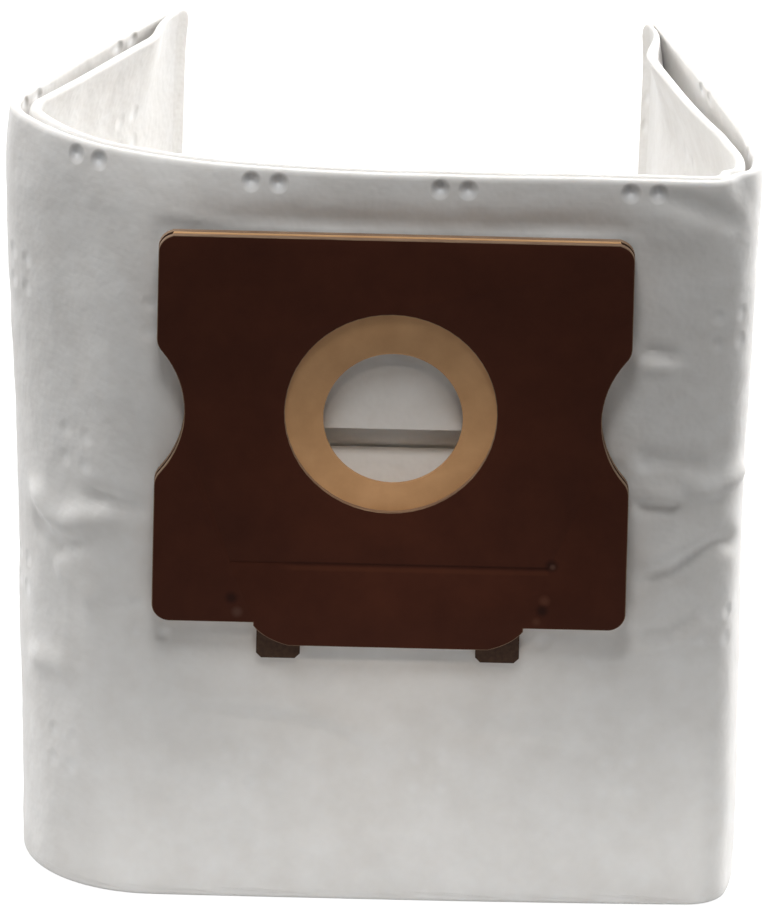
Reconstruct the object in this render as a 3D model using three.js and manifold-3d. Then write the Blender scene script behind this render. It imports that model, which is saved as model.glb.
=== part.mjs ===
// Vacuum cleaner dust bag of white non-woven filter cloth with a stiff brown card collar.
// The bag is one web of cloth folded flat: a front ply, a back ply and a gusset tucked in between them
// along the top and along the bottom, with a weld down each end. It stands on its bottom folds, with both
// ends swung back.
// Millimetres, +X right, +Y back, +Z up. The collar faces -Y and its inlet is centred on X = 0.
import * as THREE from "three";
import { mergeVertices } from "three/addons/utils/BufferGeometryUtils.js";
import Module from "manifold-3d";

const wasm = await Module();
wasm.setup();

// Bag, folded flat
const bagHeight = 180;
const leftLength = 189.5; // from the inlet to either welded end
const rightLength = 192;
const cloth = 1.0; // one layer of the web
const layerGap = 0.35; // between layers that lie on each other
const topGusset = 60.5; // how far the top gusset is tucked in
const tipGap = 7; // between the tips of the two gussets
const bottomGusset = bagHeight - topGusset - tipGap;
const leftSpread = 4.1; // how far the top folds spring apart towards each end
const rightSpread = 5.5;
const springDepth = 20; // how far down from the top they do
const bottomSpread = 1.2;
const spreadStart = 70; // where along the bag this starts, is full, and starts to close again
const spreadFull = 145;
const spreadEnd = 165;
const weldWidth = 5;
const weldRadius = 4; // rounded corners of the weld
const weldPress = 0.5; // share of the stack's thickness left under the weld
const pressLength = 18; // over which the stack thins towards the weld
const weldSkin = 0.12; // the weld stands this far proud of the pressed stack
const weldOverlap = 0.8; // of the layers into the weld
const stationStep = 14; // longest facet along the bag, and near its ends
const endStep = 4.5;
const topSetBack = 2.5; // the top fold behind the plane of the collar

// Collar
const inletHeight = 123;
const cardWidth = 110.2;
const cardTop = 43.9; // edges of the card from the inlet's centre
const cardBottom = -52;
const cardCorner = 4.2;
const cardThickness = 1.3;
const sealThickness = 0.9;
const sealInset = 0.7; // the seal's edge inside the card's
const glueGap = 0.3; // between pieces that lie on each other
const cardHole = 24.6; // radii
const sealHole = 16.2;
const clothHole = 21;
const cardHoleRise = 0.8; // above the inlet's centre
const cardHoleLeft = 0.5;
const sealHoleDrop = 1;
const holeMargin = 4; // of the blank that the cloth's hole is cut with
const notchRadius = 23.5; // hand notches in both sides
const notchDepth = 6.7;
const notchCorner = 2;
const tongueHalf = 31.4;
const tongueTip = 23.2; // half width below the bevels
const tongueBottom = -57.6;
const tongueBevel = 2.5; // bow of the bevelled corners
const footInner = 20.4;
const footOuter = 30.6;
const footBottom = -61.8;
const footCorner = 1.2;
const scoreHeight = -36.9; // fold line across the front card
const scoreHalf = 37;
const scoreWidth = 0.9;
const scoreDepth = 0.35;

const degrees = Math.PI / 180;

// How the folded bag bends, going out from the inlet: stretches of [share of that side's length, turn in
// degrees], each a straight or an arc. The left end swings round in a wide soft bend, the right end round a
// sharp one.
const bends = {
  topLeft: [[0.047, 0], [0.301, 24], [0.185, 36], [0.084, 58], [0.383, 4]],
  topRight: [[0.375, 0], [0.094, 88], [0.115, 8], [0.031, 10], [0.333, 0], [0.052, 14]],
  bottomLeft: [[0.285, 0], [0.327, 112], [0.388, 0]],
  bottomRight: [[0.37, 2], [0.068, 76], [0.208, 30], [0.354, 0]],
};
const sideLength = (s) => (s < 0 ? leftLength : rightLength);
const weldStart = (s) => sideLength(s) - weldWidth;

// Point and inward normal, seen from above, at a distance along one of those runs.
function along(stretches, distance, side) {
  let x = 0, y = 0, heading = 0, left = distance;
  for (const [share, turn] of stretches) {
    const length = share * sideLength(side);
    const part = Math.min(left, length);
    const bend = (turn * degrees) / length;
    if (bend === 0) {
      x += part * Math.cos(heading);
      y += part * Math.sin(heading);
    } else {
      x += (Math.sin(heading + bend * part) - Math.sin(heading)) / bend;
      y += (Math.cos(heading) - Math.cos(heading + bend * part)) / bend;
    }
    heading += bend * part;
    left -= part;
    if (left <= 0) break;
  }
  return { x: side * x, y, nx: -side * Math.sin(heading), ny: Math.cos(heading) };
}

const smooth = (from, to, value) => THREE.MathUtils.smoothstep(value, from, to);

// How much of the top edge's bend reaches down to a height. Behind the collar the cloth is held flat, and
// only the strip above the card follows the top edge.
function topShare(s, z) {
  const free = smooth(0.455 * cardWidth, 0.765 * cardWidth, Math.abs(s));
  const share = z / bagHeight;
  return THREE.MathUtils.lerp(share ** 8, share, free);
}

// Share of its thickness that the stack keeps near an end.
const press = (s) =>
  THREE.MathUtils.lerp(1, weldPress, smooth(weldStart(s) - pressLength, weldStart(s), Math.abs(s)));

// How far open the gussets stand, from 0 to 1. They are shut behind the collar and at the welds.
const opening = (s) => {
  const closing = smooth(spreadEnd, weldStart(s) - weldSkin, Math.abs(s));
  return smooth(spreadStart, spreadFull, Math.abs(s)) * (1 - closing);
};

const stack = 4 * cloth + 3 * layerGap;

// A place in the folded bag: s along it from the inlet, depth in from its outer face, z up.
function place(s, depth, z) {
  const side = s < 0 ? -1 : 1;
  const top = along(side < 0 ? bends.topLeft : bends.topRight, Math.abs(s), side);
  const bottom = along(side < 0 ? bends.bottomLeft : bends.bottomRight, Math.abs(s), side);
  const share = topShare(s, z);
  const normal = new THREE.Vector2(
    THREE.MathUtils.lerp(bottom.nx, top.nx, share),
    THREE.MathUtils.lerp(bottom.ny, top.ny, share),
  ).normalize();
  const inward = stack / 2 + (depth - stack / 2) * press(s);
  return [
    THREE.MathUtils.lerp(bottom.x, top.x, share) + normal.x * inward,
    THREE.MathUtils.lerp(bottom.y, top.y + topSetBack, share) + normal.y * inward,
    z,
  ];
}

// Half a turn of a fold in the section, from one face to the other. dir is 1 over the top and -1 underneath.
// An odd number of steps leaves the fold pressed flat at its crest.
function turn(from, to, z, dir, steps) {
  const middle = (from + to) / 2;
  const radius = (to - from) / 2;
  const crest = Math.sin((Math.PI * Math.floor(steps / 2)) / steps);
  return Array.from({ length: steps + 1 }, (_, i) => {
    const angle = Math.PI * (i / steps);
    return [middle - radius * Math.cos(angle), z + (dir * Math.abs(radius) * Math.sin(angle)) / crest];
  });
}

// Straight run of the section between folds, as heights on one face.
const run = (depth, heights) => heights.map((z) => [depth, z]);

// Outline of the web's outer surface (inset 0) or of the hollow inside it (inset one cloth) across the bag.
function section(s, inset) {
  const fold = cloth + layerGap / 2; // from the middle of a fold to its outer face
  const steps = inset ? 2 : 5;
  const tipSteps = inset ? 5 : 2;
  const leaf = 2 * cloth + layerGap; // a ply and the gusset leaf on it
  const back = leaf + layerGap;
  const topTip = bagHeight - topGusset;
  const topSpread = s < 0 ? leftSpread : rightSpread;
  const openTop = (z) => topSpread * opening(s) * Math.max(0, 1 - (bagHeight - z) / springDepth);
  const openBottom = (z) => bottomSpread * opening(s) * Math.max(0, 1 - z / bottomGusset);
  const down = (heights) => [...heights].reverse();
  const zTop = bagHeight - fold;
  const tipTop = topTip + fold;
  const tipBottom = bottomGusset - fold;
  const low = [0.54 * tipBottom];
  const high = [0.3, 0.55, 0.7, 0.81, 0.91].map((share) => THREE.MathUtils.lerp(tipTop, zTop, share));
  const frontRun = [...low, tipBottom, ...high];
  const loop = [
    ...run(inset, frontRun),
    ...turn(inset, leaf - inset, zTop, 1, steps),
    ...run(leaf - inset, down(high)),
    ...turn(leaf - inset, back + inset, tipTop, -1, tipSteps),
    ...run(back + inset, high),
    ...turn(back + inset, back + leaf - inset, zTop, 1, steps),
    ...run(back + leaf - inset, down(frontRun)),
    ...turn(back + leaf - inset, back + inset, fold, -1, steps),
    ...run(back + inset, low),
    ...turn(back + inset, leaf - inset, tipBottom, 1, tipSteps),
    ...run(leaf - inset, low),
    ...turn(leaf - inset, inset, fold, -1, steps),
  ];
  const opened = (depth, z) => (depth > leaf + layerGap / 2 ? depth + openTop(z) + openBottom(z) : depth);
  return loop.map(([depth, z]) => [opened(depth, z), z]);
}

// Stations along the bag: close together where it bends, far apart where it runs straight.
function stations(from, to) {
  const bendAt = (edge, s) => {
    let end = 0;
    const [share, turn] = edge.find(([share]) => (end += share * sideLength(s)) > Math.abs(s)) ?? edge.at(-1);
    return turn / (share * sideLength(s));
  };
  const tightest = (s) =>
    s < 0
      ? Math.max(bendAt(bends.topLeft, s), bendAt(bends.bottomLeft, s))
      : Math.max(bendAt(bends.topRight, s), bendAt(bends.bottomRight, s));
  const marks = [from];
  while (marks.at(-1) < to - stationStep / 5) {
    const s = marks.at(-1);
    const step = (at) => Math.min(stationStep, 10 / Math.max(tightest(at), 0.01));
    const nearEnd = Math.abs(s) > weldStart(s) - pressLength ? endStep : stationStep;
    marks.push(Math.min(s + Math.min(step(s + endStep / 9), step(s + endStep) + endStep / 3, nearEnd), to));
  }
  marks[marks.length - 1] = to;
  return marks;
}

// A solid lofted through closed loops that all have the same number of points.
function loft(loops, flat) {
  const n = loops[0].length;
  const index = [];
  for (let i = 0; i + 1 < loops.length; i++)
    for (let j = 0; j < n; j++) {
      const a = i * n + j, b = i * n + ((j + 1) % n);
      index.push(a, b, a + n, b, b + n, a + n);
    }
  // Triangles across an end, wound the same way as its loop.
  const cap = (loop) => {
    const points = loop.map(([u, v]) => new THREE.Vector2(u, v));
    const faces = THREE.ShapeUtils.triangulateShape(points, []);
    const same = THREE.ShapeUtils.area(points) * THREE.ShapeUtils.area(faces[0].map((i) => points[i])) > 0;
    return same ? faces : faces.map(([a, b, c]) => [a, c, b]);
  };
  const last = (loops.length - 1) * n;
  for (const [a, b, c] of cap(flat[0])) index.push(a, c, b);
  for (const [a, b, c] of cap(flat[1])) index.push(last + a, last + b, last + c);
  const solid = (triangles) =>
    new wasm.Manifold(new wasm.Mesh({
      numProp: 3,
      vertProperties: new Float32Array(loops.flat(2)),
      triVerts: new Uint32Array(triangles),
    }));
  const made = solid(index);
  if (made.volume() > 0) return made;
  for (let i = 0; i < index.length; i += 3) [index[i + 1], index[i + 2]] = [index[i + 2], index[i + 1]];
  return solid(index);
}

function sweep(marks, outlineAt) {
  const flat = marks.map(outlineAt);
  const loops = flat.map((points, i) => points.map(([depth, z]) => place(marks[i], depth, z)));
  return loft(loops, [flat[0], flat.at(-1)]);
}

// Weld at one end: the four layers pressed into one strip with rounded corners.
function weld(side) {
  const corner = sideLength(side) - weldRadius;
  const rounded = [20, 40, 60, 75, 90].map((angle) => corner + weldRadius * Math.sin(angle * degrees));
  const marks = [weldStart(side) - weldOverlap, corner, ...rounded];
  return sweep(marks.map((s) => side * s), (s) => {
    const past = Math.max(0, Math.abs(s) - corner);
    const trim = weldRadius - Math.sqrt(Math.max(0, weldRadius ** 2 - past ** 2));
    const low = Math.abs(s) < weldStart(side) ? weldOverlap : trim;
    const near = -weldSkin, far = stack + weldSkin;
    return [[near, low], [near, bagHeight - low], [far, bagHeight - low], [far, low]];
  });
}

const toSolid = (geometry) => {
  const bare = new THREE.BufferGeometry().setAttribute("position", geometry.getAttribute("position"));
  if (geometry.index) bare.setIndex(geometry.index);
  const merged = mergeVertices(bare, 1e-4);
  return new wasm.Manifold(new wasm.Mesh({
    numProp: 3,
    vertProperties: merged.getAttribute("position").array,
    triVerts: new Uint32Array(merged.index.array),
  }));
};

const toGeometry = (solid) => {
  const mesh = solid.getMesh();
  const geometry = new THREE.BufferGeometry();
  geometry.setAttribute("position", new THREE.BufferAttribute(mesh.vertProperties, 3));
  geometry.setIndex(new THREE.BufferAttribute(mesh.triVerts, 1));
  const faceted = geometry.toNonIndexed();
  faceted.computeVertexNormals();
  return faceted;
};

// A sheet cut to a shape drawn in X and Z about the inlet, with its front face at the given Y.
function sheet(shape, front, thickness) {
  const geometry = new THREE.ExtrudeGeometry(shape, { depth: thickness, bevelEnabled: false });
  geometry.rotateX(Math.PI / 2).translate(0, front + thickness, inletHeight);
  return geometry;
}

function roundHole(x, z, radius) {
  const circle = new THREE.EllipseCurve(x, z, radius, radius, 0, 2 * Math.PI, false);
  const hole = new THREE.Path();
  hole.setFromPoints(circle.getPoints(56).slice(0, -1));
  return hole;
}

// Outline of the collar, drawn clockwise from its lower left corner, shrunk by an inset. The bottom edge is
// drawn by the caller, because the front card has a tongue there and the back card has feet.
function collarOutline(inset, bottomEdge) {
  const half = cardWidth / 2 - inset;
  const top = cardTop - inset;
  const bottom = cardBottom + inset;
  const radius = notchRadius + inset;
  const centre = cardWidth / 2 + notchRadius - notchDepth;
  const reach = Math.sqrt(radius ** 2 - (centre - half) ** 2);
  const angle = Math.asin(reach / radius);
  const shape = new THREE.Shape();
  // One side's notch, its ends rounded into the straight edge. dir is 1 on the way up and -1 on the way down.
  const notch = (side, dir) => {
    const open = angle - notchCorner / radius;
    const x = side * (centre - radius * Math.cos(open));
    const start = side < 0 ? -open : Math.PI - open;
    shape.lineTo(side * half, -dir * (reach + notchCorner));
    shape.quadraticCurveTo(side * half, -dir * reach, x, -dir * radius * Math.sin(open));
    shape.absarc(side * centre, 0, radius, start, start + 2 * open, false);
    shape.quadraticCurveTo(side * half, dir * reach, side * half, dir * (reach + notchCorner));
  };
  shape.moveTo(-half, bottom + cardCorner);
  notch(-1, 1);
  shape.lineTo(-half, top - cardCorner);
  shape.absarc(-half + cardCorner, top - cardCorner, cardCorner, Math.PI, Math.PI / 2, true);
  shape.lineTo(half - cardCorner, top);
  shape.absarc(half - cardCorner, top - cardCorner, cardCorner, Math.PI / 2, 0, true);
  notch(1, -1);
  shape.lineTo(half, bottom + cardCorner);
  shape.absarc(half - cardCorner, bottom + cardCorner, cardCorner, 0, -Math.PI / 2, true);
  bottomEdge(shape, bottom);
  shape.lineTo(-half + cardCorner, bottom);
  shape.absarc(-half + cardCorner, bottom + cardCorner, cardCorner, -Math.PI / 2, -Math.PI, true);
  const points = shape.getPoints(8);
  return new THREE.Shape(points.filter((point, i) => point.distanceTo(points.at(i - 1)) > 1e-3));
}

// Tongue with bevelled corners, and the two feet of the back card.
const tongue = (shape, bottom) => {
  const bowX = tongueHalf - tongueBevel;
  const bowZ = tongueBottom + 0.6 * tongueBevel;
  const shoulder = bottom - tongueBevel / 3;
  shape.lineTo(tongueHalf, bottom);
  shape.lineTo(tongueHalf, shoulder);
  shape.quadraticCurveTo(bowX, bowZ, tongueTip, tongueBottom);
  shape.lineTo(-tongueTip, tongueBottom);
  shape.quadraticCurveTo(-bowX, bowZ, -tongueHalf, shoulder);
  shape.lineTo(-tongueHalf, bottom);
};
const feet = (shape, bottom) => {
  for (const side of [1, -1]) {
    const [first, second] = side > 0 ? [footOuter, footInner] : [-footInner, -footOuter];
    shape.lineTo(first, bottom);
    shape.lineTo(first, footBottom + footCorner);
    shape.lineTo(first - footCorner, footBottom);
    shape.lineTo(second + footCorner, footBottom);
    shape.lineTo(second, footBottom + footCorner);
    shape.lineTo(second, bottom);
  }
};

// Layers of the collar, from the cloth forward
const backCardFront = -glueGap - cardThickness;
const sealFront = backCardFront - glueGap - sealThickness;
const frontCardFront = sealFront - glueGap - cardThickness;

const frontShape = collarOutline(0, tongue);
frontShape.holes.push(roundHole(-cardHoleLeft, cardHoleRise, cardHole));
const sealShape = collarOutline(sealInset, () => {});
sealShape.holes.push(roundHole(0, -sealHoleDrop, sealHole));
const backShape = collarOutline(0, feet);
backShape.holes.push(roundHole(-cardHoleLeft, cardHoleRise, cardHole));

// The front card is scored across so that its lower part folds down over the holder's catch.
const scoreShape = new THREE.Shape([
  new THREE.Vector2(0, scoreDepth),
  new THREE.Vector2(-scoreWidth, -scoreDepth),
  new THREE.Vector2(scoreWidth, -scoreDepth),
]);
const score = new THREE.ExtrudeGeometry(scoreShape, { depth: 2 * scoreHalf, bevelEnabled: false });

// The web of the bag with its inlet cut through the front ply only
const marks = stations(-weldStart(-1) - weldOverlap, weldStart(1) + weldOverlap);
const hollowMarks = [weldOverlap - weldStart(-1), ...marks.slice(1, -1), weldStart(1) - weldOverlap];
const web = sweep(marks, (s) => section(s, 0)).subtract(sweep(hollowMarks, (s) => section(s, cloth)));
const blank = clothHole + holeMargin;
const midPly = cloth + layerGap / 2;
const frontPly = sweep(stations(-blank, blank), () => [
  [-2 * cloth, inletHeight - blank],
  [-2 * cloth, inletHeight],
  [-2 * cloth, inletHeight + blank],
  [midPly, inletHeight + blank],
  [midPly, inletHeight + clothHole / 2],
  [midPly, inletHeight],
  [midPly, inletHeight - blank],
]);
const punch = new THREE.CylinderGeometry(clothHole, clothHole, 4 * stack, 40).translate(0, 0, inletHeight);
const bag = web.add(weld(-1)).add(weld(1)).subtract(toSolid(punch).intersect(frontPly));

score.rotateY(Math.PI / 2).translate(-scoreHalf, frontCardFront, inletHeight + scoreHeight);
const frontCard = toSolid(sheet(frontShape, frontCardFront, cardThickness)).subtract(toSolid(score));

const cloths = new THREE.MeshStandardMaterial({ color: "#ebe9e4", roughness: 0.95, metalness: 0 });
const brownCard = new THREE.MeshStandardMaterial({ color: "#40231a", roughness: 0.75, metalness: 0 });
const darkCard = new THREE.MeshStandardMaterial({ color: "#453329", roughness: 0.85, metalness: 0 });
const tanSeal = new THREE.MeshStandardMaterial({ color: "#b08a62", roughness: 0.7, metalness: 0 });

const pieces = {
  bag: [toGeometry(bag), cloths],
  collar_back: [sheet(backShape, backCardFront, cardThickness), darkCard],
  seal_membrane: [sheet(sealShape, sealFront, sealThickness), tanSeal],
  collar_front: [toGeometry(frontCard), brownCard],
};

const group = new THREE.Group();
for (const [name, [geometry, material]] of Object.entries(pieces)) {
  const mesh = new THREE.Mesh(geometry, material);
  mesh.name = name;
  group.add(mesh);
}

// The origin goes to the middle of the underside.
const box = new THREE.Box3().setFromObject(group);
for (const mesh of group.children)
  mesh.geometry.translate(-(box.min.x + box.max.x) / 2, -(box.min.y + box.max.y) / 2, -box.min.z);

export default group;
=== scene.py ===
import math

import bpy
import numpy as np
from mathutils import Matrix, Vector, noise
from mathutils.geometry import tessellate_polygon


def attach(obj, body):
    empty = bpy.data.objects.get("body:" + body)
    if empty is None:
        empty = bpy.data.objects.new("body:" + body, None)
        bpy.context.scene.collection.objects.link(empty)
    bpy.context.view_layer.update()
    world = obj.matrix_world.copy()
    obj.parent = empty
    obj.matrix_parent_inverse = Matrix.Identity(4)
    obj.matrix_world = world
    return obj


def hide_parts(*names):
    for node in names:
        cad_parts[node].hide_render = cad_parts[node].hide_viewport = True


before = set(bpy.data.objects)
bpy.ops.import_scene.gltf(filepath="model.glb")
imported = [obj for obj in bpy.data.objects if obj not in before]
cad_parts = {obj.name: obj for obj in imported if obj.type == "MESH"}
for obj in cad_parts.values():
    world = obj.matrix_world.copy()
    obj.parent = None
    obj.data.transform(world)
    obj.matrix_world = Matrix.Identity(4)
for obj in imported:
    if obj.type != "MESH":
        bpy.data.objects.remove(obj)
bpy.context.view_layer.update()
bpy.ops.object.select_all(action="DESELECT")


# The bag. One web of lofted polypropylene non-woven, about a millimetre thick, folded into a front ply, a back
# ply and a gusset tucked in between them along the top and along the bottom. Both ends are welded shut, and the
# layers are tacked together by groups of four heat-staked dots. Handling has left creases beside the collar.

# All its sizes are in millimetres.
BAG_HEIGHT = 180.0
LENGTH = {-1: 189.5, 1: 192.0}  # from the inlet to the left (-1) and to the right (1) welded end
CLOTH = 1.0
LAYER_GAP = 0.35
STACK = 4 * CLOTH + 3 * LAYER_GAP
TOP_GUSSET = 62.6  # how far each gusset is tucked in
BOTTOM_GUSSET = 111.2
WELD_WIDTH = 5.0
WELD_RADIUS = 4.0  # of the welded ends' corners
TOP_SET_BACK = 2.5  # of the top edge behind the bottom edge, all along
INLET = Vector((4.11, -55.16, 123.0))  # centre of the inlet on the cloth, from the part's origin
INLET_RADIUS = 21.0

SPREAD = {-1: 4.1, 1: 5.5}  # how far the top folds spring apart towards each end
SPRING_DEPTH = 20.0  # how far down they do
BOTTOM_SPREAD = 1.2  # how far the bottom gusset opens there
GUSSET_LEAN = 4.2  # of the bottom gusset's tip, away from the inlet
LEAN_START = 103.5  # height at which the lean begins
TIP_HANG = 1.2  # of the top gusset's tip, behind the inlet
TIP_CURL = 1.1  # of its last few millimetres, back towards the inlet
SHOULDER = 1.2  # how far the top edge leans back
CRUSH = 2.4  # dent in the sharp right-hand corner of the top edge
CORNER_FLARE = 1.6  # of the cloth beside that dent
WAIST = {-1: 1.4, 1: 0.9}  # how far each outer corner is drawn in between the folds
CREASE_GAIN = 1.9
CREASE_LIMIT = 2.4  # no crease is higher or deeper than this
LOOSE_BESIDE = 2.3  # room behind the creases beside the collar
LOOSE_BELOW = 1.1  # room behind the creases below it

# How each edge of the folded bag runs, going out from the inlet to the left and to the right:
# stretches of (share of that side's length, turn in degrees)
TOP_EDGE = {
    -1: [(0.047, 0), (0.301, 24), (0.185, 36), (0.084, 58), (0.383, 4)],
    1: [(0.375, 0), (0.094, 88), (0.115, 8), (0.031, 10), (0.333, 0), (0.052, 14)],
}
BOTTOM_EDGE = {
    -1: [(0.285, 0), (0.327, 112), (0.388, 0)],
    1: [(0.37, 2), (0.068, 76), (0.208, 30), (0.354, 0)],
}


def smooth(start, end, value):
    """0 before start, 1 past end, and an even S between them."""
    share = np.clip((value - start) / (end - start), 0.0, 1.0)
    return share * share * (3 - 2 * share)


def mix(a, b, share):
    return a + (b - a) * share


def bump_at(value, middle, width):
    """1 at the middle, falling away evenly to both sides."""
    return np.exp(-(((value - middle) / width) ** 2))


def edge_at(edge, s):
    """Place and inward direction, seen from above, at a distance s along one edge from the inlet."""
    side = -1 if s < 0 else 1
    x = y = heading = 0.0
    left = abs(s)
    for share, turn in edge[side]:
        length = share * LENGTH[side]
        part = min(left, length)
        bend = math.radians(turn) / length
        if bend:
            x += (math.sin(heading + bend * part) - math.sin(heading)) / bend
            y += (math.cos(heading) - math.cos(heading + bend * part)) / bend
        else:
            x += part * math.cos(heading)
            y += part * math.sin(heading)
        heading += bend * part
        left -= part
        if left <= 0:
            break
    return np.array((side * x, y)), np.array((-side * math.sin(heading), math.cos(heading)))


# Creases in the front ply: height (+ stands proud, - sinks), width, and the line it runs along as (s, z)
CREASES = [
    (-1.2, 3.0, [(-74, 96.5), (-71.4, 96.2), (-65.9, 96.5), (-56.7, 96.5)]),
    (1.5, 3.4, [
        (-96, 92), (-93.2, 91.2), (-87.7, 90.1), (-83.1, 87.9),
        (-78.7, 87.6), (-74.1, 89.8), (-69, 91.9), (-63, 94.5),
    ]),
    (-0.8, 3.0, [(-94, 84.5), (-87, 83), (-80, 81.5), (-72, 84.5)]),
    (0.7, 3.6, [(-96, 49.5), (-92, 50.2), (-83.4, 52.2), (-74, 52)]),
    (0.6, 3.4, [(-83, 77.5), (-75.4, 73.4), (-68, 69.5)]),
    (-0.6, 2.4, [(-70, 70), (-64, 71), (-57.9, 72.4)]),
    (-1.0, 2.8, [(54, 112.8), (57.5, 112.3), (62.2, 111.3), (74, 110)]),
    (0.9, 2.2, [(54, 103.4), (61.3, 103.3), (68, 102.6)]),
    (-0.7, 2.8, [(55, 99.8), (61.3, 99.6), (69, 99.4)]),
    (1.1, 2.8, [(69, 103.4), (71.7, 104.3), (76.5, 104.9), (83.2, 106.2), (88, 107)]),
    (-1.1, 2.8, [
        (55, 80), (57.4, 80.8), (62.9, 82.6), (66.4, 83.8),
        (69.8, 86.8), (72.8, 89.3), (76.5, 90.7), (86, 89),
    ]),
    (0.7, 2.8, [(57, 86.5), (63, 88), (68, 91), (74, 94)]),
    (-0.8, 2.8, [(55.5, 68.8), (61, 68.3), (65.2, 68.8), (67.9, 70.3), (71.4, 73.1), (76, 75)]),
    (1.0, 3.0, [(54, 63.9), (57.4, 64.8), (61.5, 64.8), (66.2, 65.6), (69.4, 67.6), (72.6, 70.1), (77, 72)]),
    (-0.9, 2.2, [(55, 139), (60.4, 138.3), (66, 137.8)]),
    (0.8, 2.4, [(55, 135.6), (60.4, 135.4), (66, 134.8)]),
    (0.6, 3.6, [(-52, 51.5), (-34, 50), (-20, 48), (-8, 44), (4, 38.5)]),
    (-0.4, 4.0, [(-46, 47), (-20, 44), (-6, 39)]),
    (-0.7, 3.6, [(12, 43), (26, 42), (38, 40.5), (50, 36)]),
    (0.6, 3.0, [(52, 29), (60, 23), (64, 21)]),
    (-0.5, 3.6, [(-46, 170), (-36, 168.6), (0, 168.4), (40, 168.6), (58, 169.5)]),
    (-0.8, 3.0, [(60, 177), (68, 174.5), (76, 171.5), (82, 168)]),
]


def crease_height(s, z):
    """Height in millimetres of the creases at an array of places."""
    total = np.zeros_like(s)
    for height, width, line in CREASES:
        line = np.array(line, float)
        runs = np.concatenate(([0.0], np.cumsum(np.linalg.norm(np.diff(line, axis=0), axis=1))))
        nearest = np.full_like(s, 1e9)
        where = np.zeros_like(s)
        for start, end, before, after in zip(line, line[1:], runs, runs[1:]):
            step = end - start
            t = np.clip(((s - start[0]) * step[0] + (z - start[1]) * step[1]) / (step @ step), 0, 1)
            away = np.hypot(s - start[0] - t * step[0], z - start[1] - t * step[1])
            closer = away < nearest
            nearest = np.where(closer, away, nearest)
            where = np.where(closer, mix(before, after, t), where)
        middle = 1 - np.abs(2 * where / runs[-1] - 1)
        profile = np.exp(-((nearest / (0.8 * width)) ** 2))
        total += height * profile * smooth(-0.15, 0.5, middle)
    return total


def slack(s, z):
    """Broad swells in millimetres, which all four layers share."""
    value = np.empty_like(s)
    for place in np.ndindex(s.shape):
        a, b = s[place], z[place]
        wide = noise.noise(Vector((a / 46, b / 30, 3.1)))
        narrow = noise.noise(Vector((a / 19, b / 15, 8.4)))
        value[place] = 0.9 * wide + 0.45 * narrow
    return value


def crumple(s, z):
    """Fine unevenness of handled cloth, in millimetres."""
    value = np.empty_like(s)
    for place in np.ndindex(s.shape):
        a, b = s[place], z[place]
        soft = noise.noise(Vector((a / 8, b / 6.5, 1.7)))
        crisp = noise.noise(Vector((a / 3.4, b / 3.2, 5.2)))
        value[place] = 0.22 * soft + 0.1 * crisp
    return value


def behind_card(s, z):
    """1 where the collar holds the cloth flat, 0 away from it."""
    across = 1 - smooth(54.5, 59.5, np.abs(s))
    upright = smooth(57, 63, z) * (1 - smooth(166.2, 168, z))
    return across * upright


def rows(low, high, step):
    """Even heights from low to high, about a step apart."""
    count = max(1, round((high - low) / step))
    return [low + (high - low) * i / count for i in range(count + 1)]


def half_turn(start, end, z, direction, steps):
    """The web turning back on itself, a little squarer than a half circle."""
    middle, radius = (start + end) / 2, (end - start) / 2
    crest = math.sin(math.pi * (steps // 2) / steps) ** 0.75
    line = []
    for i in range(steps + 1):
        across, up = math.cos(math.pi * i / steps), math.sin(math.pi * i / steps)
        across = math.copysign(abs(across) ** 0.75, across)
        line.append((middle - radius * across, z + direction * abs(radius) * max(0.0, up) ** 0.75 / crest))
    return line


def section(inset):
    """Folded web across the bag, as (depth, z) points: its outside, or the hollow inside it one cloth in."""
    fold = CLOTH + LAYER_GAP / 2
    leaf = 2 * CLOTH + LAYER_GAP
    back = leaf + LAYER_GAP
    fold_steps, tip_steps = (3, 4) if inset else (9, 2)
    z_low, z_high = fold, BAG_HEIGHT - fold
    front = rows(z_low, z_high, 1.3)
    behind = rows(z_low, 106, 2.9)[:-1] + rows(106, 126, 1.25)[:-1] + rows(126, z_high, 2.9)
    top_leaf = rows(BAG_HEIGHT - TOP_GUSSET + fold, z_high, 4.2)
    bottom_leaf = rows(z_low, 99, 8)[:-1] + rows(99, BOTTOM_GUSSET - fold, 1.8)
    line = [(inset, z) for z in front[1:-1]]
    line += half_turn(inset, leaf - inset, z_high, 1, fold_steps)
    line += [(leaf - inset, z) for z in top_leaf[-2:0:-1]]
    line += half_turn(leaf - inset, back + inset, top_leaf[0], -1, tip_steps)
    line += [(back + inset, z) for z in top_leaf[1:-1]]
    line += half_turn(back + inset, back + leaf - inset, z_high, 1, fold_steps)
    line += [(back + leaf - inset, z) for z in behind[-2:0:-1]]
    line += half_turn(back + leaf - inset, back + inset, z_low, -1, fold_steps)
    line += [(back + inset, z) for z in bottom_leaf[1:-1]]
    line += half_turn(back + inset, leaf - inset, bottom_leaf[-1], 1, tip_steps)
    line += [(leaf - inset, z) for z in bottom_leaf[-2:0:-1]]
    line += half_turn(leaf - inset, inset, z_low, -1, fold_steps)
    return np.array(line), len(front) - 2


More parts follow.
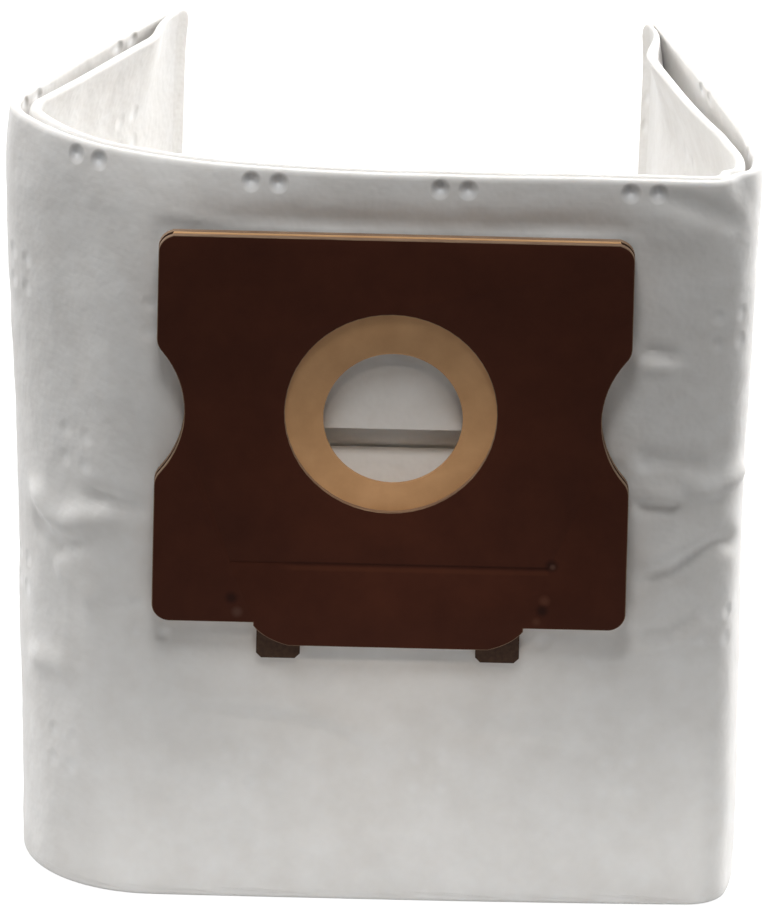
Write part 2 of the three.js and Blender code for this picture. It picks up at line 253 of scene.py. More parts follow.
def folded_places(stations, inset):
    """Places on the web's outside or inside, as an array of stations by section points, in millimetres."""
    outline, front_count = section(inset)
    depth = np.tile(outline[:, 0], (len(stations), 1))
    z = np.tile(outline[:, 1], (len(stations), 1))
    s = np.tile(stations[:, None], (1, outline.shape[0]))
    away = np.abs(s)
    length = np.where(s < 0, LENGTH[-1], LENGTH[1])
    inner_end = length - WELD_WIDTH
    front_layer = depth < CLOTH + LAYER_GAP / 2 + 0.01
    last_layer = depth > 3 * CLOTH + 2.5 * LAYER_GAP
    # Towards the ends the top folds spring apart, and the bottom gusset opens a little.
    behind_cleft = depth > 2 * CLOTH + 1.5 * LAYER_GAP
    open_at = smooth(70, 145, away) * (1 - smooth(165, inner_end - 2, away))
    spread = np.where(s < 0, SPREAD[-1], SPREAD[1])
    top_open = spread * np.clip(1 - (BAG_HEIGHT - z) / SPRING_DEPTH, 0, None)
    bottom_open = BOTTOM_SPREAD * np.clip(1 - z / BOTTOM_GUSSET, 0, None)
    depth = depth + np.where(behind_cleft, open_at * (top_open + bottom_open), 0)
    # Behind the inlet the tip of the bottom gusset leans back from the front ply, and takes the back ply along,
    # and the tip of the top gusset hangs back a little and curls forward again.
    near = 1 - smooth(22, 50, away)
    lean = GUSSET_LEAN * np.clip((z - LEAN_START) / (BOTTOM_GUSSET - LEAN_START), 0, 1) * near
    eased = GUSSET_LEAN * smooth(92, 106, z) * (1 - 0.6 * smooth(111, 114, z)) * near
    eased = eased * (1 - smooth(118, 132, z))
    hang = (TIP_HANG * (1 - smooth(117, 134, z)) - TIP_CURL * (1 - smooth(117.2, 120.4, z))) * near
    gusset_push = np.where(z < BOTTOM_GUSSET + 1, lean, hang)
    depth = depth + np.where(last_layer, eased, np.where(front_layer, 0, gusset_push))
    # Where the front ply is creased it stands off the layers behind it.
    beside = smooth(46, 60, away)
    loose = LOOSE_BESIDE * beside * (1 - smooth(86, 98, away)) * smooth(30, 58, z) * (1 - smooth(118, 150, z))
    loose = loose + LOOSE_BELOW * (1 - beside) * smooth(12, 28, z) * (1 - smooth(50, 64, z))
    depth = depth + np.where(front_layer, 0, loose)
    if not inset:
        # Under the weld the four layers are one strip with round corners, so the clefts between them close.
        in_weld = away > inner_end + 0.2
        in_cleft = np.zeros(len(outline), bool)
        in_cleft[front_count + 10 : -10] = True
        in_cleft &= (outline[:, 0] > 2 * CLOTH + 0.2) & (outline[:, 0] < 2 * CLOTH + 2 * LAYER_GAP + 0.2)
        top_half = outline[:, 1] > BAG_HEIGHT - TOP_GUSSET
        closed = np.where(top_half, BAG_HEIGHT - 0.3, 0.3)
        z = np.where(in_weld & in_cleft, closed, z)
        past = np.clip(away - (length - WELD_RADIUS), 0, WELD_RADIUS)
        trim = WELD_RADIUS - np.sqrt(WELD_RADIUS**2 - past**2)
        z = mix(trim, BAG_HEIGHT - trim, z / BAG_HEIGHT)
    press = mix(1.0, 0.5, smooth(inner_end - 18, inner_end, away))
    free = smooth(50, 84, away)
    share = np.clip(z / BAG_HEIGHT, 0, 1)
    share = mix(share**8, share, free)
    top = [edge_at(TOP_EDGE, at) for at in stations]
    bottom = [edge_at(BOTTOM_EDGE, at) for at in stations]
    top_place, top_in = (np.array([t[i] for t in top])[:, None, :] for i in (0, 1))
    low_place, low_in = (np.array([b[i] for b in bottom])[:, None, :] for i in (0, 1))
    inward = mix(low_in, top_in, share[..., None])
    inward = inward / np.linalg.norm(inward, axis=2, keepdims=True)
    # Swells and creases go through the whole stack, and fine crumpling is in the two outer plies.
    held = behind_card(s, z)
    before_weld = 1 - smooth(inner_end - 10, inner_end, away)
    off_floor = smooth(0, 8, z)
    swell = slack(s, z) * (1 - held) * smooth(0, 14, z) * before_weld * (1 - 0.6 * smooth(80, 96, away))
    creased = CREASE_LIMIT * np.tanh(CREASE_GAIN * crease_height(s, z) / CREASE_LIMIT) * (1 - held)
    creased = creased * (1 - smooth(88, 99, away)) * off_floor * (1 - smooth(176, 179.5, z))
    outer_ply = off_floor * (1 - smooth(172, 178, z)) * before_weld
    proud = crumple(s, z) * np.where(front_layer, 1 - held, 0) * outer_ply
    sunk = crumple(s + 300, z) * np.where(last_layer, 1.0, 0.0) * outer_ply
    # The top edge leans back softly, and is crushed at the sharp right-hand corner.
    set_in = SHOULDER * np.clip((z - 166) / 14, 0, 1) ** 2
    crushed = bump_at(s, 82.5, 5.5)
    set_in = set_in + CRUSH * crushed * np.clip((z - 168) / 12, 0, 1)
    set_in = set_in - CORNER_FLARE * bump_at(s, 97, 10) * np.clip((z - 150) / 30, 0, 1) ** 2
    # Between its folds the bag is a little waisted at its two outer corners.
    set_in = set_in + WAIST[1] * bump_at(s, 97, 18) * bump_at(z, 95, 42)
    set_in = set_in + WAIST[-1] * bump_at(s, -100, 30) * (1 - smooth(95, 150, z))
    from_middle = STACK / 2 + (depth - STACK / 2) * press + set_in - swell - creased - proud + sunk
    plan = mix(low_place, top_place + np.array((0, TOP_SET_BACK)), share[..., None])
    plan = plan + inward * from_middle[..., None]
    return np.dstack((plan, z)) + np.array((INLET.x, INLET.y, 0)), outline, front_count


left_end, right_end = WELD_WIDTH - LENGTH[-1], LENGTH[1] - WELD_WIDTH
fine = np.arange(-110, 98.1, 1.45)
round_inlet = fine[np.abs(fine) < 26]
weld = np.array([0.3, 1.0, 2.2, 3.2, 4.0, 4.5, 4.8, 4.95])
outer_stations = np.concatenate((
    left_end - weld[::-1], np.linspace(left_end, fine[0], 28)[:-1], fine,
    np.linspace(fine[-1], right_end, 32)[1:], right_end + weld,
))
hollow_stations = np.concatenate((
    np.linspace(left_end + 0.8, round_inlet[0], 36)[:-1], round_inlet,
    np.linspace(round_inlet[-1], right_end - 0.8, 36)[1:],
))
outside, outer_line, front_rows = folded_places(outer_stations, 0)
inside, hollow_line, _ = folded_places(hollow_stations, CLOTH)

# Both skins, left open over the inlet's hole in the front ply, and joined round its rim
points = [tuple(p / 1000) for skin in (outside, inside) for p in skin.reshape(-1, 3)]
web_place = []
faces = []
first_hollow = outside.shape[0] * outside.shape[1]
for skin, (grid, line, stations, base) in enumerate(
    ((outside, outer_line, outer_stations, 0), (inside, hollow_line, hollow_stations, first_hollow))
):
    run = np.concatenate(([0.0], np.cumsum(np.linalg.norm(np.diff(line, axis=0), axis=1))))
    web_place += [(s / 1000, t / 1000 + skin) for s in stations for t in run]
    count = len(line)
    for i in range(len(stations) - 1):
        for j in range(count):
            k = (j + 1) % count
            here, next_along = base + i * count, base + (i + 1) * count
            ring = [here + j, here + k, next_along + k, next_along + j]
            faces.append((ring[::-1] if skin == 0 else ring, skin, i, j))
    for end in (0, len(stations) - 1):
        loop = [Vector((u, v, 0)) for u, v in line]
        flip = (end == 0) == (skin == 0)
        for tri in tessellate_polygon([loop]):
            a, b, c = (Vector(loop[i]) for i in tri)
            anticlockwise = (b - a).cross(c - a).z > 0
            corners = [base + end * count + i for i in tri]
            faces.append((corners[::-1] if anticlockwise != flip else corners, skin, -1, -1))

# The two skins share their stations round the inlet, this many steps apart in their two lists.
just_before = round_inlet[0] - 0.01
station_shift = int(
    np.searchsorted(outer_stations, just_before) - np.searchsorted(hollow_stations, just_before)
)


def over_inlet(skin, i, j):
    """Whether a face of the front ply lies inside the inlet's hole."""
    if i < 0 or j < 0 or j >= front_rows - 1:
        return False
    stations, line = ((outer_stations, outer_line), (hollow_stations, hollow_line))[skin]
    s = (stations[i] + stations[i + 1]) / 2
    z = (line[j][1] + line[j + 1][1]) / 2
    return math.hypot(s, z - INLET.z) < INLET_RADIUS and abs(s) < INLET_RADIUS


kept = [corners for corners, skin, i, j in faces if not over_inlet(skin, i, j)]
outer_count, hollow_count = len(outer_line), len(hollow_line)
rim_faces = []
for corners, skin, i, j in faces:
    if skin or not over_inlet(skin, i, j):
        continue
    beside = (
        (i - 1, j, (i, j + 1), (i, j)),
        (i + 1, j, (i + 1, j), (i + 1, j + 1)),
        (i, j - 1, (i, j), (i + 1, j)),
        (i, j + 1, (i + 1, j + 1), (i, j + 1)),
    )
    for next_i, next_j, (ai, aj), (bi, bj) in beside:
        if not over_inlet(0, next_i, next_j):
            inner_a = first_hollow + (ai - station_shift) * hollow_count + aj
            inner_b = first_hollow + (bi - station_shift) * hollow_count + bj
            rim_faces.append([inner_a, inner_b, bi * outer_count + bj, ai * outer_count + aj])
for index in {index for corners in rim_faces for index in corners}:
    x, y, z = points[index]
    away = Vector((x - INLET.x / 1000, z - INLET.z / 1000)).normalized() * INLET_RADIUS / 1000
    points[index] = (INLET.x / 1000 + away.x, y, INLET.z / 1000 + away.y)

bag_mesh = bpy.data.meshes.new("bag_web")
bag_mesh.from_pydata(points, [], kept + rim_faces)
web_map = bag_mesh.uv_layers.new(name="web")
for loop in bag_mesh.loops:
    web_map.data[loop.index].uv = web_place[loop.vertex_index]
bag_mesh.update()
bag = bpy.data.objects.new("bag_web", bag_mesh)
bpy.context.collection.objects.link(bag)
bpy.context.view_layer.objects.active = bag
bag.select_set(True)
bpy.ops.object.shade_smooth_by_angle(angle=math.radians(50))
bpy.ops.object.select_all(action="DESELECT")


def linear(hex_colour):
    """An sRGB hex colour as the linear numbers that a shader takes."""
    parts = [int(hex_colour[i : i + 2], 16) / 255 for i in (1, 3, 5)]
    return tuple(c / 12.92 if c <= 0.04045 else ((c + 0.055) / 1.055) ** 2.4 for c in parts) + (1.0,)


def add(tree, kind, settings=None, **inputs):
    """Adds one node. Inputs are given by name, with _ for a space, or as i0, i1 and so on by number."""
    node = tree.nodes.new("ShaderNode" + kind)
    for name, value in (settings or {}).items():
        setattr(node, name, value)
    for name, value in inputs.items():
        numbered = name[0] == "i" and name[1:].isdigit()
        socket = node.inputs[int(name[1:]) if numbered else name.replace("_", " ")]
        if isinstance(value, bpy.types.NodeSocket):
            tree.links.new(value, socket)
        else:
            socket.default_value = value
    return node


# Thermally bonded polypropylene non-woven: matt, softly lit from within, faintly cloudy where the fibre is laid
# thicker. Single fibres are some 0.03 mm thick, so they are drawn about twenty times coarser to show at all.
filter_cloth = bpy.data.materials.new("polypropylene non-woven, calendered soft")
filter_cloth.use_nodes = True
tree = filter_cloth.node_tree
shader = tree.nodes["Principled BSDF"]
web = add(tree, "UVMap", {"uv_map": "web"}).outputs[0]
solid_place = add(tree, "TexCoord").outputs["Object"]
clouds = add(tree, "TexNoise", Vector=solid_place, Scale=95.0, Detail=3.0, Roughness=0.6).outputs[0]
laid = []
for turn in (0.6, -0.8, 1.5):
    along_fibre = add(tree, "Mapping", Vector=web, Rotation=(0, 0, turn), Scale=(160, 1500, 1)).outputs[0]
    laid.append(add(tree, "TexNoise", Vector=along_fibre, Scale=1.0, Detail=2.0, Distortion=0.4).outputs[0])
fibres = add(tree, "Math", {"operation": "MAXIMUM"}, i0=laid[0], i1=laid[1]).outputs[0]
fibres = add(tree, "Math", {"operation": "MAXIMUM"}, i0=fibres, i1=laid[2]).outputs[0]

# Heat-staked dots, dents some 3 mm across, in groups of four about 7 mm apart. The groups stand 44 mm apart
# along the web in rows 37 mm apart, each row half a step along from the next. One row is just under the crest.
DOT_COLUMNS, FIRST_COLUMN, COLUMN_SLANT = 44.1, 10.0, 0.0205
DOT_ROWS, FIRST_ROW = 37.1, 29.7
DOT_REACH = 2.6
u_v = add(tree, "SeparateXYZ", Vector=web)
no_slant = COLUMN_SLANT * 0.0308
slant = add(tree, "Math", {"operation": "MULTIPLY_ADD"}, i0=u_v.outputs[1], i1=-COLUMN_SLANT, i2=no_slant)
along = add(tree, "Math", {"operation": "ADD"}, i0=u_v.outputs[0], i1=slant.outputs[0]).outputs[0]
from_first = 0.5 - FIRST_ROW / DOT_ROWS
row = add(tree, "Math", {"operation": "MULTIPLY_ADD"}, i0=u_v.outputs[1], i1=1000 / DOT_ROWS, i2=from_first)
row_number = add(tree, "Math", {"operation": "FLOOR"}, i0=row.outputs[0])
odd = add(tree, "Math", {"operation": "FLOORED_MODULO"}, i0=row_number.outputs[0], i1=2.0)
from_first = 0.5 - FIRST_COLUMN / DOT_COLUMNS
shift = add(tree, "Math", {"operation": "MULTIPLY_ADD"}, i0=odd.outputs[0], i1=0.5, i2=from_first).outputs[0]
column = add(tree, "Math", {"operation": "MULTIPLY_ADD"}, i0=along, i1=1000 / DOT_COLUMNS, i2=shift)
sides = []
for count, pitch, half in ((column, DOT_COLUMNS, 3.25), (row, DOT_ROWS, 3.5)):
    part = add(tree, "Math", {"operation": "FRACT"}, i0=count.outputs[0])
    away = add(tree, "Math", {"operation": "MULTIPLY_ADD"}, i0=part.outputs[0], i1=pitch, i2=-pitch / 2)
    away = add(tree, "Math", {"operation": "ABSOLUTE"}, i0=away.outputs[0])
    sides.append(add(tree, "Math", {"operation": "SUBTRACT"}, i0=away.outputs[0], i1=half))
off_dot = add(tree, "CombineXYZ", X=sides[0].outputs[0], Y=sides[1].outputs[0])
off_dot = add(tree, "VectorMath", {"operation": "LENGTH"}, i0=off_dot.outputs[0]).outputs["Value"]
even = {"interpolation_type": "SMOOTHSTEP"}
dot = add(tree, "MapRange", even, Value=off_dot, i2=DOT_REACH, i3=1.0, i4=0.0)

# Under the weld the fibres are melted together: smoother, a little darker, and ribbed by the welding tool.
middle_shift = (LENGTH[1] - LENGTH[-1]) / 2000
from_middle = add(tree, "Math", {"operation": "SUBTRACT"}, i0=u_v.outputs[0], i1=middle_shift)
from_middle = add(tree, "Math", {"operation": "ABSOLUTE"}, i0=from_middle.outputs[0])
inner_edge = (LENGTH[1] + LENGTH[-1]) / 2000 - (WELD_WIDTH + 0.4) / 1000
past_end = add(tree, "Math", {"operation": "SUBTRACT"}, i0=from_middle.outputs[0], i1=inner_edge)
welded = add(tree, "MapRange", even, Value=past_end.outputs[0], i2=0.0008)
ribs = add(tree, "Math", {"operation": "MULTIPLY"}, i0=u_v.outputs[1], i1=2 * math.pi / 0.0016)
ribs = add(tree, "Math", {"operation": "SINE"}, i0=ribs.outputs[0])
ribs = add(tree, "Math", {"operation": "MULTIPLY"}, i0=ribs.outputs[0], i1=welded.outputs[0])
cloud_colour = add(tree, "ValToRGB", i0=clouds)
for stop, position, tone in zip(cloud_colour.color_ramp.elements, (0.3, 0.7), ("#e9e6e2", "#f2f0ed")):
    stop.position, stop.color = position, linear(tone)
pressed = add(tree, "Math", {"operation": "MULTIPLY"}, i0=welded.outputs[0], i1=0.3)
melted = linear("#d9d5cf")
colour = add(tree, "Mix", {"data_type": "RGBA"}, i0=pressed.outputs[0], i6=cloud_colour.outputs[0], i7=melted)
rough = add(tree, "MapRange", Value=pressed.outputs[0], i3=0.92, i4=0.6)
tree.links.new(rough.outputs[0], shader.inputs["Roughness"])
shader.inputs["Sheen Weight"].default_value = 0.15
shader.inputs["Sheen Roughness"].default_value = 0.5
shader.inputs["Specular IOR Level"].default_value = 0.3
shader.inputs["Subsurface Weight"].default_value = 0.4
shader.inputs["Subsurface Radius"].default_value = (1.0, 0.95, 0.9)
shader.inputs["Subsurface Scale"].default_value = 0.0011
bump = add(tree, "Bump", Strength=0.5, Distance=0.00004, Height=fibres)
bump = add(tree, "Bump", Strength=0.6, Distance=0.0009, Height=clouds, Normal=bump.outputs[0])
# The dots are deep only under the front crest, where the tool pressed last, and faint or gone elsewhere:
# (metres round the web from the bottom fold, share of the full depth). The inside of the web has none.
depth = add(tree, "ValToRGB", i0=u_v.outputs[1])
ramp = depth.color_ramp
ramp.elements[0].position, ramp.elements[0].color = 0.0, (0, 0, 0, 1)
ramp.elements[1].position, ramp.elements[1].color = 0.999, (0, 0, 0, 1)
for position, level in (
    (0.02, 0.18), (0.15, 0.18), (0.172, 1.0), (0.179, 1.0), (0.183, 0.0),
    (0.305, 0.0), (0.312, 0.2), (0.8, 0.2), (0.9, 0.0),
):
    ramp.elements.new(position).color = (level, level, level, 1)
depth = add(tree, "Math", {"operation": "MULTIPLY"}, i0=depth.outputs[0], i1=dot.outputs[0])
# Where the dots are deep the cloth is also painted towards pure white: a painted highlight for the lit lower
# slope of each dent, not a paler cloth.
dot_painted_highlight = add(tree, "Mix", {"data_type": "RGBA"}, i0=depth.outputs[0], i6=colour.outputs[2], i7=linear("#ffffff"))
tree.links.new(dot_painted_highlight.outputs[2], shader.inputs["Base Color"])
bump = bump.outputs[0]
bump = add(tree, "Bump", {"invert": True}, Strength=1.0, Distance=0.0017, Height=depth.outputs[0], Normal=bump)
bump = add(tree, "Bump", Strength=0.3, Distance=0.00002, Height=ribs.outputs[0], Normal=bump.outputs[0])
tree.links.new(bump.outputs[0], shader.inputs["Normal"])
bag_mesh.materials.append(filter_cloth)
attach(bag, "root")
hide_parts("bag")


# The back card of the collar. Grey-brown solid board, die cut with two small feet that locate it in the
# cleaner's holder, and glued to the front ply round the inlet.
COLLAR_TOP = 0.1669  # in metres, as everything on the collar
GLUE = 0.00027  # thickness of the glue behind each sheet
SCORE_HEIGHT, SCORE_HALF = 0.0861, 0.0378


def die_cut(node, name, edge_round, faced, raw_edge):
    """A CAD sheet with its cut edges softened, its faces in one material and its cut edges in another."""
    piece = bpy.data.objects.new(name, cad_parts[node].data.copy())
    piece.data.transform(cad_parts[node].matrix_world)
    piece.data.materials.clear()
    piece.data.materials.append(faced)
    piece.data.materials.append(raw_edge)
    bpy.context.collection.objects.link(piece)
    bpy.context.view_layer.objects.active = piece
    piece.select_set(True)
    bpy.ops.object.mode_set(mode="EDIT")
    bpy.ops.mesh.select_all(action="SELECT")
    bpy.ops.mesh.remove_doubles(threshold=1e-5)
    bpy.ops.mesh.dissolve_limited(angle_limit=math.radians(1))
    bpy.ops.object.mode_set(mode="OBJECT")
    # The glue fills the gap behind the sheet, and all the sheets end flush along the top.
    back_y = max(v.co.y for v in piece.data.vertices)
    top_z = max(v.co.z for v in piece.data.vertices)
    for vertex in piece.data.vertices:
        if vertex.co.y > back_y - 1e-4:
            vertex.co.y += GLUE
        if vertex.co.z > top_z - 1e-4:
            vertex.co.z = COLLAR_TOP
    rounding = piece.modifiers.new("cut edge", "BEVEL")
    rounding.width = edge_round
    rounding.segments = 2
    rounding.limit_method = "ANGLE"
    rounding.angle_limit = math.radians(50)
    bpy.ops.object.modifier_apply(modifier=rounding.name)
    for polygon in piece.data.polygons:
        from_middle = abs(polygon.center.x - INLET.x / 1000)
        in_score = abs(polygon.center.z - SCORE_HEIGHT) < 0.0012 and from_middle < SCORE_HALF
        polygon.material_index = 0 if abs(polygon.normal.y) > 0.95 or in_score else 1
    bpy.ops.object.shade_smooth_by_angle(angle=math.radians(35))
    bpy.ops.object.select_all(action="DESELECT")
    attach(piece, "root")
    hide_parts(node)
    return piece


# Raw edge of die-cut board: pale tan pulp, in plies that the cutting rule has left slightly furred
raw_board = bpy.data.materials.new("solid board, raw cut edge")
raw_board.use_nodes = True
tree = raw_board.node_tree
shader = tree.nodes["Principled BSDF"]
place = add(tree, "TexCoord").outputs["Object"]
plies = add(tree, "Mapping", Vector=place, Scale=(120, 2600, 120)).outputs[0]
pulp = add(tree, "TexNoise", Vector=plies, Scale=1.0, Detail=3.0).outputs[0]
pulp_colour = add(tree, "ValToRGB", i0=pulp)
for stop, position, tone in zip(pulp_colour.color_ramp.elements, (0.35, 0.65), ("#6f5542", "#92785f")):
    stop.position, stop.color = position, linear(tone)
tree.links.new(pulp_colour.outputs[0], shader.inputs["Base Color"])
shader.inputs["Roughness"].default_value = 0.9
fur = add(tree, "Bump", Strength=0.5, Distance=0.0001, Height=pulp)
tree.links.new(fur.outputs[0], shader.inputs["Normal"])

# Back board: uncoated, so matt, with a coarse fleck of recycled pulp
back_board = bpy.data.materials.new("solid board, uncoated dark grey-brown")
back_board.use_nodes = True
tree = back_board.node_tree
shader = tree.nodes["Principled BSDF"]
place = add(tree, "TexCoord").outputs["Object"]
fleck = add(tree, "TexNoise", Vector=place, Scale=900.0, Detail=3.0).outputs[0]
fleck_colour = add(tree, "ValToRGB", i0=fleck)
for stop, position, tone in zip(fleck_colour.color_ramp.elements, (0.35, 0.65), ("#3f2e25", "#4b382c")):
    stop.position, stop.color = position, linear(tone)
tree.links.new(fleck_colour.outputs[0], shader.inputs["Base Color"])
shader.inputs["Roughness"].default_value = 0.85
shader.inputs["Specular IOR Level"].default_value = 0.15
grain = add(tree, "Bump", Strength=0.4, Distance=0.00008, Height=fleck)
tree.links.new(grain.outputs[0], shader.inputs["Normal"])
back_card = die_cut("collar_back", "back_card", 0.00012, back_board, raw_board)


# The sealing membrane. Soft tan rubber sheet, stamped with the small round hole that stretches over the
# cleaner's hose inlet, and held between the two cards.
seal_rubber = bpy.data.materials.new("thermoplastic rubber, tan, satin")
seal_rubber.use_nodes = True
tree = seal_rubber.node_tree
shader = tree.nodes["Principled BSDF"]
place = add(tree, "TexCoord").outputs["Object"]
bloom = add(tree, "TexNoise", Vector=place, Scale=160.0, Detail=4.0).outputs[0]
bloom_colour = add(tree, "ValToRGB", i0=bloom)
for stop, position, tone in zip(bloom_colour.color_ramp.elements, (0.3, 0.7), ("#bf9367", "#cc9f72")):
    stop.position, stop.color = position, linear(tone)
tree.links.new(bloom_colour.outputs[0], shader.inputs["Base Color"])
shader.inputs["Roughness"].default_value = 0.6
shader.inputs["Specular IOR Level"].default_value = 0.2
skin = add(tree, "TexNoise", Vector=place, Scale=1300.0, Detail=2.0).outputs[0]
dimple = add(tree, "Bump", Strength=0.3, Distance=0.00006, Height=skin)
# The ring round the hole is dished by about a millimetre and a half, from having been pushed on.
from_hole = add(tree, "VectorMath", {"operation": "SUBTRACT"}, i0=place, i1=tuple(INLET / 1000)).outputs[0]
flat_place = add(tree, "VectorMath", {"operation": "MULTIPLY"}, i0=from_hole, i1=(1, 0, 1)).outputs[0]
radius = add(tree, "VectorMath", {"operation": "LENGTH"}, i0=flat_place).outputs["Value"]
dish = add(tree, "MapRange", Value=radius, i1=0.0155, i2=0.0252).outputs[0]
dished = add(tree, "Bump", Strength=1.0, Distance=0.0028, Height=dish, Normal=dimple.outputs[0])
tree.links.new(dished.outputs[0], shader.inputs["Normal"])
seal = die_cut("seal_membrane", "seal_membrane_sheet", 0.0001, seal_rubber, seal_rubber)
# Its upper corners reach a little further out than the solid's, to lie flush with the cards' round corners.
for vertex in seal.data.vertices:
    if vertex.co.z > 0.15:
        vertex.co.x = INLET.x / 1000 + (vertex.co.x - INLET.x / 1000) * 1.0125


# The front card. Solid board faced with dark brown paper, die cut with a hand notch in each side and a tongue,
# and scored across so that the tongue folds down over the holder's catch.
faced_board = bpy.data.materials.new("solid board, dark brown paper face")
faced_board.use_nodes = True
tree = faced_board.node_tree
shader = tree.nodes["Principled BSDF"]
place = add(tree, "TexCoord").outputs["Object"]
from_inlet = add(tree, "VectorMath", {"operation": "SUBTRACT"}, i0=place, i1=tuple(INLET / 1000)).outputs[0]
mottle = add(tree, "TexNoise", Vector=place, Scale=70.0, Detail=5.0, Roughness=0.65).outputs[0]
face_colour = add(tree, "ValToRGB", i0=mottle)
for stop, position, tone in zip(face_colour.color_ramp.elements, (0.3, 0.7), ("#3c1e14", "#472519")):
    stop.position, stop.color = position, linear(tone)
# The score is drawn as a dark line of painted shade, with a lighter line of painted highlight below it. The
# locating pins and knives of the cutting press have left small marks, each drawn as a spot of painted shade
# with a spot of painted highlight: (x, z) from the inlet in millimetres, radius, colour.
across_and_up = add(tree, "SeparateXYZ", Vector=from_inlet)
card_colour_and_painted_light = face_colour.outputs[0]
# The dark line is painted shade in the score's groove, and the lighter line is a painted highlight on its lower
# lip.
for height, half, painted_light_tone in ((-0.0369, 0.0004, "#140806"), (-0.0381, 0.0005, "#55301f")):
    off_line = add(tree, "Math", {"operation": "SUBTRACT"}, i0=across_and_up.outputs[2], i1=height)
    off_line = add(tree, "Math", {"operation": "ABSOLUTE"}, i0=off_line.outputs[0])
    painted_score_line = add(tree, "MapRange", Value=off_line.outputs[0], i1=0.5 * half, i2=1.5 * half, i3=0.35, i4=0.0)
    inside = add(tree, "MapRange", Value=across_and_up.outputs[0], i1=-0.026, i2=-0.022)
    painted_score_line = add(tree, "Math", {"operation": "MULTIPLY"}, i0=painted_score_line.outputs[0], i1=inside.outputs[0])
    inside = add(tree, "MapRange", Value=across_and_up.outputs[0], i1=0.0366, i2=0.0372, i3=1.0, i4=0.0)
    painted_score_line = add(tree, "Math", {"operation": "MULTIPLY"}, i0=painted_score_line.outputs[0], i1=inside.outputs[0])
    painted_light_mix = add(tree, "Mix", {"data_type": "RGBA"}, i0=painted_score_line.outputs[0], i6=card_colour_and_painted_light, i7=linear(painted_light_tone))
    card_colour_and_painted_light = painted_light_mix.outputs[2]
# The dark spots are painted shade and the lighter spots are painted highlights, standing in for small dents lit
# from above.
for x, z, radius, painted_light_tone in (
    (37.7, -36.1, 1.5, "#150907"), (37.9, -36.4, 0.7, "#5b4238"),
    (-36.6, -45.9, 1.5, "#1c0d0a"), (-35.2, -49.4, 1.3, "#5a4036"),
    (36.2, -44.9, 1.3, "#5d3a2c"), (35.7, -47.4, 1.4, "#180b08"), (34.4, -50.2, 1.0, "#5a382a"),
):
    middle = (x / 1000, -0.0044, z / 1000)
    away = add(tree, "VectorMath", {"operation": "SUBTRACT"}, i0=from_inlet, i1=middle).outputs[0]
    away = add(tree, "VectorMath", {"operation": "MULTIPLY"}, i0=away, i1=(1, 0, 1)).outputs[0]
    away = add(tree, "VectorMath", {"operation": "LENGTH"}, i0=away).outputs["Value"]
    painted_dent_light = add(tree, "MapRange", Value=away, i1=0.4 * radius / 1000, i2=1.3 * radius / 1000, i3=0.7, i4=0.0)
    painted_light_mix = add(tree, "Mix", {"data_type": "RGBA"}, i0=painted_dent_light.outputs[0], i6=card_colour_and_painted_light, i7=linear(painted_light_tone))
    card_colour_and_painted_light = painted_light_mix.outputs[2]
tree.links.new(card_colour_and_painted_light, shader.inputs["Base Color"])
shader.inputs["Roughness"].default_value = 0.75
shader.inputs["Specular IOR Level"].default_value = 0.08
fine_grain = add(tree, "TexNoise", Vector=place, Scale=1500.0, Detail=2.0).outputs[0]
relief = add(tree, "Bump", Strength=0.35, Distance=0.00006, Height=fine_grain)
tree.links.new(relief.outputs[0], shader.inputs["Normal"])
front_card = die_cut("collar_front", "front_card", 0.0003, faced_board, raw_board)


# The studio: a white floor that keeps the bag's shadow and a white surround. Two soft lamps behind light the
# wings, one lies overhead, a small one in front and above lights the panel, and two low ones light its edges.
# Two narrow reflectors on the floor lift the foot of the panel, and a warm spot lifts the lower collar.
bpy.ops.mesh.primitive_plane_add(size=30.0)
floor = bpy.context.object
floor.name = "studio_floor"
floor_paint = bpy.data.materials.new("white studio floor")
floor_paint.use_nodes = True
tree = floor_paint.node_tree
shader = tree.nodes["Principled BSDF"]
shader.inputs["Base Color"].default_value = (0.22, 0.22, 0.22, 1)
shader.inputs["Roughness"].default_value = 0.9
path = add(tree, "LightPath").outputs
seen = add(tree, "Math", {"operation": "MAXIMUM"}, i0=path["Is Camera Ray"], i1=path["Is Glossy Ray"])
seen = add(tree, "Math", {"operation": "MAXIMUM"}, i0=seen.outputs[0], i1=path["Is Transmission Ray"])
lift = add(tree, "Math", {"operation": "MULTIPLY"}, i0=seen.outputs[0], i1=0.9)
glow = add(tree, "Emission", Color=(1, 1, 1, 1), Strength=lift.outputs[0])
both = add(tree, "AddShader", i0=shader.outputs[0], i1=glow.outputs[0])
tree.links.new(both.outputs[0], tree.nodes["Material Output"].inputs["Surface"])
floor.data.materials.append(floor_paint)

surround = bpy.data.worlds.new("white surround")
bpy.context.scene.world = surround
surround.use_nodes = True
tree = surround.node_tree
path = add(tree, "LightPath").outputs
seen = add(tree, "Math", {"operation": "MAXIMUM"}, i0=path["Is Camera Ray"], i1=path["Is Glossy Ray"])
seen = add(tree, "Math", {"operation": "MAXIMUM"}, i0=seen.outputs[0], i1=path["Is Transmission Ray"])
level = add(tree, "MapRange", Value=seen.outputs[0], i3=0.0, i4=1.0)
backing = tree.nodes["Background"]
backing.inputs["Color"].default_value = (1, 1, 1, 1)
tree.links.new(level.outputs[0], backing.inputs["Strength"])

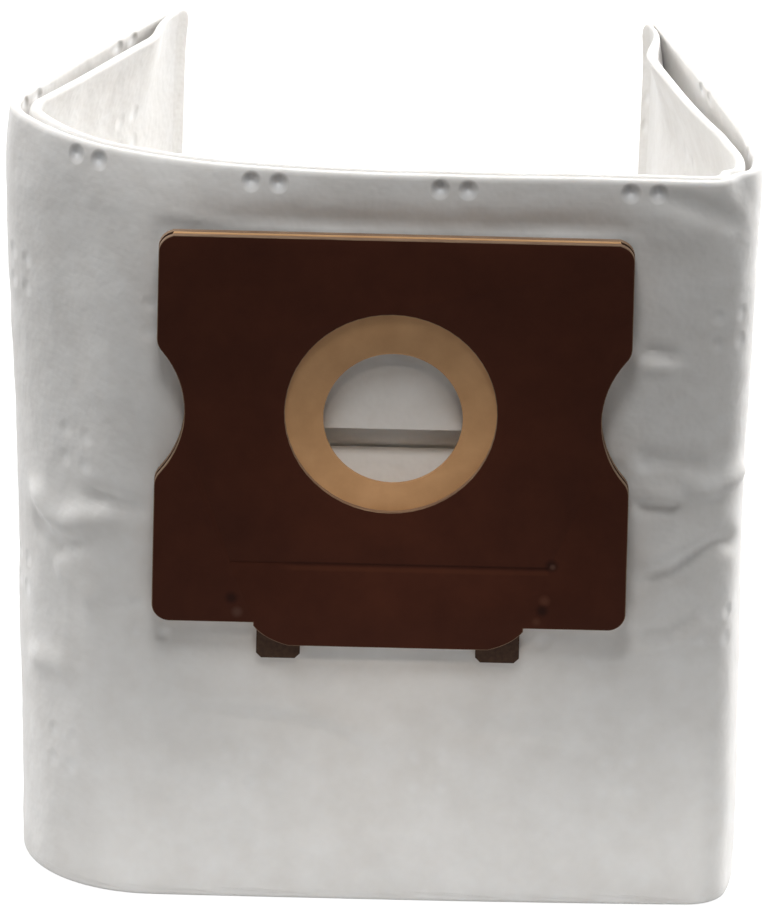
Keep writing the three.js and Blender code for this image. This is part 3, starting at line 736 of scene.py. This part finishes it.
for name, place, aim, width, height, power in (
    ("left softbox", (-0.85, 0.75, 0.6), (0, 0, 0.1), 0.6, 0.6, 12.0),
    ("right softbox", (0.85, 0.75, 0.6), (0, 0, 0.1), 0.6, 0.6, 20.5),
    ("overhead softbox", (0, 0.05, 1.1), (0, 0, 0.1), 0.5, 0.5, 4.2),
    ("front softbox", (-0.04, -0.46, 0.95), (0, -0.055, 0.1), 0.22, 0.22, 2.65),
    ("left edge light", (-0.9, -0.15, 0.06), (-0.08, -0.02, 0.07), 0.3, 0.3, 1.6),
    ("right edge light", (0.9, -0.15, 0.2), (0.08, -0.02, 0.1), 0.3, 0.5, 0.9),
    ("floor reflector", (0, -0.13, 0.006), (0, -0.055, 0.006), 0.42, 0.01, 0.04),
    ("near floor reflector", (0, -0.1, 0.004), (0, -0.055, 0.004), 0.42, 0.006, 0.03),
):
    lamp = bpy.data.lights.new(name, "AREA")
    lamp.shape = "RECTANGLE"
    lamp.size, lamp.size_y = width, height
    lamp.energy = power
    holder = bpy.data.objects.new(name, lamp)
    turn = (Vector(aim) - Vector(place)).to_track_quat("-Z", "Y")
    holder.matrix_world = Matrix.Translation(place) @ turn.to_matrix().to_4x4()
    holder.visible_camera = False
    bpy.context.collection.objects.link(holder)

spot = bpy.data.lights.new("collar spot", "SPOT")
spot.energy = 9.5
spot.color = (1.0, 0.84, 0.7)
spot.spot_size = math.radians(5.2)
spot.spot_blend = 1.0
spot.shadow_soft_size = 0.03
spot_holder = bpy.data.objects.new("collar spot", spot)
spot_holder.location = (0.0, -0.64, 0.74)
spot_aim = Vector((0.004, -0.058, 0.09)) - spot_holder.location
spot_holder.rotation_euler = spot_aim.to_track_quat("-Z", "Y").to_euler()
bpy.context.collection.objects.link(spot_holder)

# The camera: far off and narrow, 21.5 degrees above the bag, turned 1.35 degrees about its own axis.
ELEVATION, ROLL, DISTANCE, PIXELS_PER_METRE = math.radians(21.5), math.radians(1.35), 6.0, 4309.0
PHOTO_HEIGHT = 906
target = Vector((INLET.x / 1000 - 0.0019, INLET.y / 1000, 0.1124))
level_right = Vector((1, 0, 0))
level_up = Vector((0, math.sin(ELEVATION), math.cos(ELEVATION)))
ahead = Vector((0, math.cos(ELEVATION), -math.sin(ELEVATION)))
right = level_right * math.cos(ROLL) + level_up * math.sin(ROLL)
up = level_up * math.cos(ROLL) - level_right * math.sin(ROLL)
lens = bpy.data.cameras.new("photograph camera")
lens.sensor_width = 36.0
lens.lens = PIXELS_PER_METRE * DISTANCE * lens.sensor_width / PHOTO_HEIGHT
lens.clip_end = 100.0
camera = bpy.data.objects.new("photograph camera", lens)
camera_turn = Matrix((right, up, -ahead)).transposed().to_4x4()
camera.matrix_world = Matrix.Translation(target - ahead * DISTANCE) @ camera_turn
bpy.context.collection.objects.link(camera)
bpy.context.scene.camera = camera
bpy.context.scene.view_settings.view_transform = "Standard"
